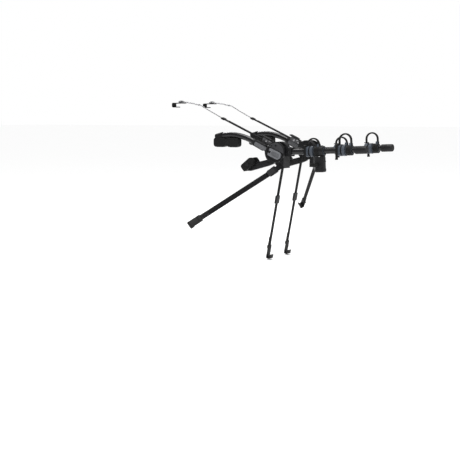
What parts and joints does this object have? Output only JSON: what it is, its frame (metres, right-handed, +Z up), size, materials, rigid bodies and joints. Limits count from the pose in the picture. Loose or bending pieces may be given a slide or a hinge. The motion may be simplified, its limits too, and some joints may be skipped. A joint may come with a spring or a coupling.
{
  "type": "trunk mounted rack",
  "caption": "Fold-down carrier rack with hubs on a cross tube, padded support arms, carrying arms with strap cradles, and hooked straps that hold it to a panel.",
  "frame": {"origin": "midpoint of the hub axis, inside the cross tube", "axes": "+X to the right as seen from behind, +Y forwards to the panel the rack leans on, +Z up; the carrying arms point along -Y"},
  "size_m": [1.1574, 1.1057, 0.7975],
  "materials": {
    "painted_tube": "satin black powder coat",
    "hub_plastic": "black grained plastic",
    "plate_plastic": "dark grey grained plastic",
    "lever_plastic": "mid grey smooth plastic",
    "bracket_paint": "satin grey paint",
    "pin_steel": "zinc plated",
    "screw_steel": "black oxide",
    "ratchet_steel": "zinc plated",
    "cable_steel": "coated strand",
    "soft_rubber": "matte black rubber",
    "cradle_plastic": "blue-grey soft plastic",
    "black_plastic": "black plastic",
    "buckle_metal": "black zinc",
    "hook_coat": "rubber-dipped steel",
    "webbing": "woven black webbing"
  },
  "bodies": {
    "root": {"cross_tube": "painted_tube", "hub_housing_left": "hub_plastic", "hub_housing_right": "hub_plastic", "hub_plate_left": "plate_plastic", "hub_plate_right": "plate_plastic", "hub_axles": "pin_steel", "hub_screws": "screw_steel", "lever_pins": "pin_steel", "arm_pins": "pin_steel", "top_strap_left": "black_plastic", "top_strap_right": "black_plastic", "ratchet_body_left": "ratchet_steel", "ratchet_body_right": "ratchet_steel", "top_cable_left": "cable_steel", "top_cable_right": "cable_steel", "cable_ferrules": "pin_steel", "top_hooks": "hook_coat", "side_strap_left": "webbing", "side_strap_right": "webbing", "cam_buckles": "buckle_metal", "side_hooks": "hook_coat", "bottom_straps": "webbing", "slide_adjusters": "black_plastic", "bottom_hooks": "hook_coat"},
    "upper_arm_left": {"upper_bracket_left": "bracket_paint", "upper_tube_left": "painted_tube", "upper_pad_left": "soft_rubber"},
    "lower_arm_left": {"lower_arm_left": "hub_plastic"},
    "lower_pad_left": {"lower_pad_left": "soft_rubber"},
    "hub_lever_left": {"hub_lever_left": "lever_plastic"},
    "carry_arm_left": {"arm_knuckle_left": "painted_tube", "arm_tube_left": "painted_tube", "arm_cap_left": "black_plastic"},
    "arm_button_left": {"arm_button_left": "lever_plastic"},
    "inner_cradle_left": {"inner_cradle_left": "cradle_plastic"},
    "outer_cradle_left": {"outer_cradle_left": "cradle_plastic"},
    "inner_strap_left": {"inner_strap_left": "soft_rubber"},
    "outer_strap_left": {"outer_strap_left": "soft_rubber"},
    "anti_sway_left": {"anti_sway_left": "black_plastic", "anti_sway_strap_left": "soft_rubber"},
    "ratchet_lever_left": {"ratchet_lever_left": "black_plastic"},
    "cam_lever_left": {"cam_lever_left": "black_plastic"},
    "upper_arm_right": {"upper_bracket_right": "bracket_paint", "upper_tube_right": "painted_tube", "upper_pad_right": "soft_rubber"},
    "lower_arm_right": {"lower_arm_right": "hub_plastic"},
    "lower_pad_right": {"lower_pad_right": "soft_rubber"},
    "hub_lever_right": {"hub_lever_right": "lever_plastic"},
    "carry_arm_right": {"arm_knuckle_right": "painted_tube", "arm_tube_right": "painted_tube", "arm_cap_right": "black_plastic"},
    "arm_button_right": {"arm_button_right": "lever_plastic"},
    "inner_cradle_right": {"inner_cradle_right": "cradle_plastic"},
    "outer_cradle_right": {"outer_cradle_right": "cradle_plastic"},
    "inner_strap_right": {"inner_strap_right": "soft_rubber"},
    "outer_strap_right": {"outer_strap_right": "soft_rubber"},
    "ratchet_lever_right": {"ratchet_lever_right": "black_plastic"},
    "cam_lever_right": {"cam_lever_right": "black_plastic"}
  },
  "joints": [
    {"name": "upper_arm_swing_left", "type": "hinge", "parent": "root", "child": "upper_arm_left", "pos_m": [-0.175, 0, 0], "axis": [1, 0, 0], "range_deg": [-6, 75]},
    {"name": "lower_arm_swing_left", "type": "hinge", "parent": "root", "child": "lower_arm_left", "pos_m": [-0.175, 0, 0], "axis": [1, 0, 0], "range_deg": [-25, 6]},
    {"name": "lower_pad_tilt_left", "type": "hinge", "parent": "lower_arm_left", "child": "lower_pad_left", "pos_m": [-0.175, 0.154, -0.064], "axis": [1, 0, 0], "range_deg": [-20, 20]},
    {"name": "hub_lever_flip_left", "type": "hinge", "parent": "root", "child": "hub_lever_left", "pos_m": [-0.2005, 0.03172, 0.00183], "axis": [0, 0.3843, -0.9232], "range_deg": [0, 110]},
    {"name": "carry_arm_fold_left", "type": "hinge", "parent": "root", "child": "carry_arm_left", "pos_m": [-0.158, -0.0585, 0], "axis": [1, 0, 0], "range_deg": [0, 92.7]},
    {"name": "arm_button_press_left", "type": "slide", "parent": "root", "child": "arm_button_left", "axis": [0, 0, -1], "range_m": [0, 0.0033], "stiffness_N_per_m": 600, "springref_m": -0.004},
    {"name": "inner_cradle_slide_left", "type": "slide", "parent": "carry_arm_left", "child": "inner_cradle_left", "axis": [0, -0.9989, 0.0471], "range_m": [-0.008, 0.02]},
    {"name": "outer_cradle_slide_left", "type": "slide", "parent": "carry_arm_left", "child": "outer_cradle_left", "axis": [0, -0.9989, 0.0471], "range_m": [-0.02, 0.012]},
    {"name": "inner_strap_open_left", "type": "hinge", "parent": "inner_cradle_left", "child": "inner_strap_left", "pos_m": [-0.158, -0.21441, 0.03739], "axis": [1, 0, 0], "range_deg": [0, 90]},
    {"name": "outer_strap_open_left", "type": "hinge", "parent": "outer_cradle_left", "child": "outer_strap_left", "pos_m": [-0.158, -0.38123, 0.04525], "axis": [1, 0, 0], "range_deg": [0, 90]},
    {"name": "anti_sway_swing_left", "type": "hinge", "parent": "inner_cradle_left", "child": "anti_sway_left", "pos_m": [-0.158, -0.23381, 0.00827], "axis": [0, 0.9989, -0.0471], "range_deg": [-15, 60]},
    {"name": "ratchet_lever_lift_left", "type": "hinge", "parent": "root", "child": "ratchet_lever_left", "pos_m": [-0.146, 0.0559, 0.04949], "axis": [1, 0, 0], "range_deg": [0, 100]},
    {"name": "cam_lever_lift_left", "type": "hinge", "parent": "root", "child": "cam_lever_left", "pos_m": [-0.2275, -0.01132, -0.08551], "axis": [-0.114, 0.6034, 0.7893], "range_deg": [0, 100]},
    {"name": "upper_arm_swing_right", "type": "hinge", "parent": "root", "child": "upper_arm_right", "pos_m": [0.175, 0, 0], "axis": [1, 0, 0], "range_deg": [-6, 75]},
    {"name": "lower_arm_swing_right", "type": "hinge", "parent": "root", "child": "lower_arm_right", "pos_m": [0.175, 0, 0], "axis": [1, 0, 0], "range_deg": [-25, 6]},
    {"name": "lower_pad_tilt_right", "type": "hinge", "parent": "lower_arm_right", "child": "lower_pad_right", "pos_m": [0.175, 0.154, -0.064], "axis": [1, 0, 0], "range_deg": [-20, 20]},
    {"name": "hub_lever_flip_right", "type": "hinge", "parent": "root", "child": "hub_lever_right", "pos_m": [0.2005, 0.03172, 0.00183], "axis": [0, -0.3843, 0.9232], "range_deg": [0, 110]},
    {"name": "carry_arm_fold_right", "type": "hinge", "parent": "root", "child": "carry_arm_right", "pos_m": [0.158, -0.0585, 0], "axis": [1, 0, 0], "range_deg": [0, 92.7]},
    {"name": "arm_button_press_right", "type": "slide", "parent": "root", "child": "arm_button_right", "axis": [0, 0, -1], "range_m": [0, 0.0033], "stiffness_N_per_m": 600, "springref_m": -0.004},
    {"name": "inner_cradle_slide_right", "type": "slide", "parent": "carry_arm_right", "child": "inner_cradle_right", "axis": [0, -0.9989, 0.0471], "range_m": [-0.008, 0.02]},
    {"name": "outer_cradle_slide_right", "type": "slide", "parent": "carry_arm_right", "child": "outer_cradle_right", "axis": [0, -0.9989, 0.0471], "range_m": [-0.02, 0.012]},
    {"name": "inner_strap_open_right", "type": "hinge", "parent": "inner_cradle_right", "child": "inner_strap_right", "pos_m": [0.158, -0.21441, 0.03739], "axis": [1, 0, 0], "range_deg": [0, 90]},
    {"name": "outer_strap_open_right", "type": "hinge", "parent": "outer_cradle_right", "child": "outer_strap_right", "pos_m": [0.158, -0.38123, 0.04525], "axis": [1, 0, 0], "range_deg": [0, 90]},
    {"name": "ratchet_lever_lift_right", "type": "hinge", "parent": "root", "child": "ratchet_lever_right", "pos_m": [0.146, 0.0559, 0.04949], "axis": [1, 0, 0], "range_deg": [0, 100]},
    {"name": "cam_lever_lift_right", "type": "hinge", "parent": "root", "child": "cam_lever_right", "pos_m": [0.2275, -0.01132, -0.08551], "axis": [-0.114, -0.6034, -0.7893], "range_deg": [0, 100]}
  ]
}
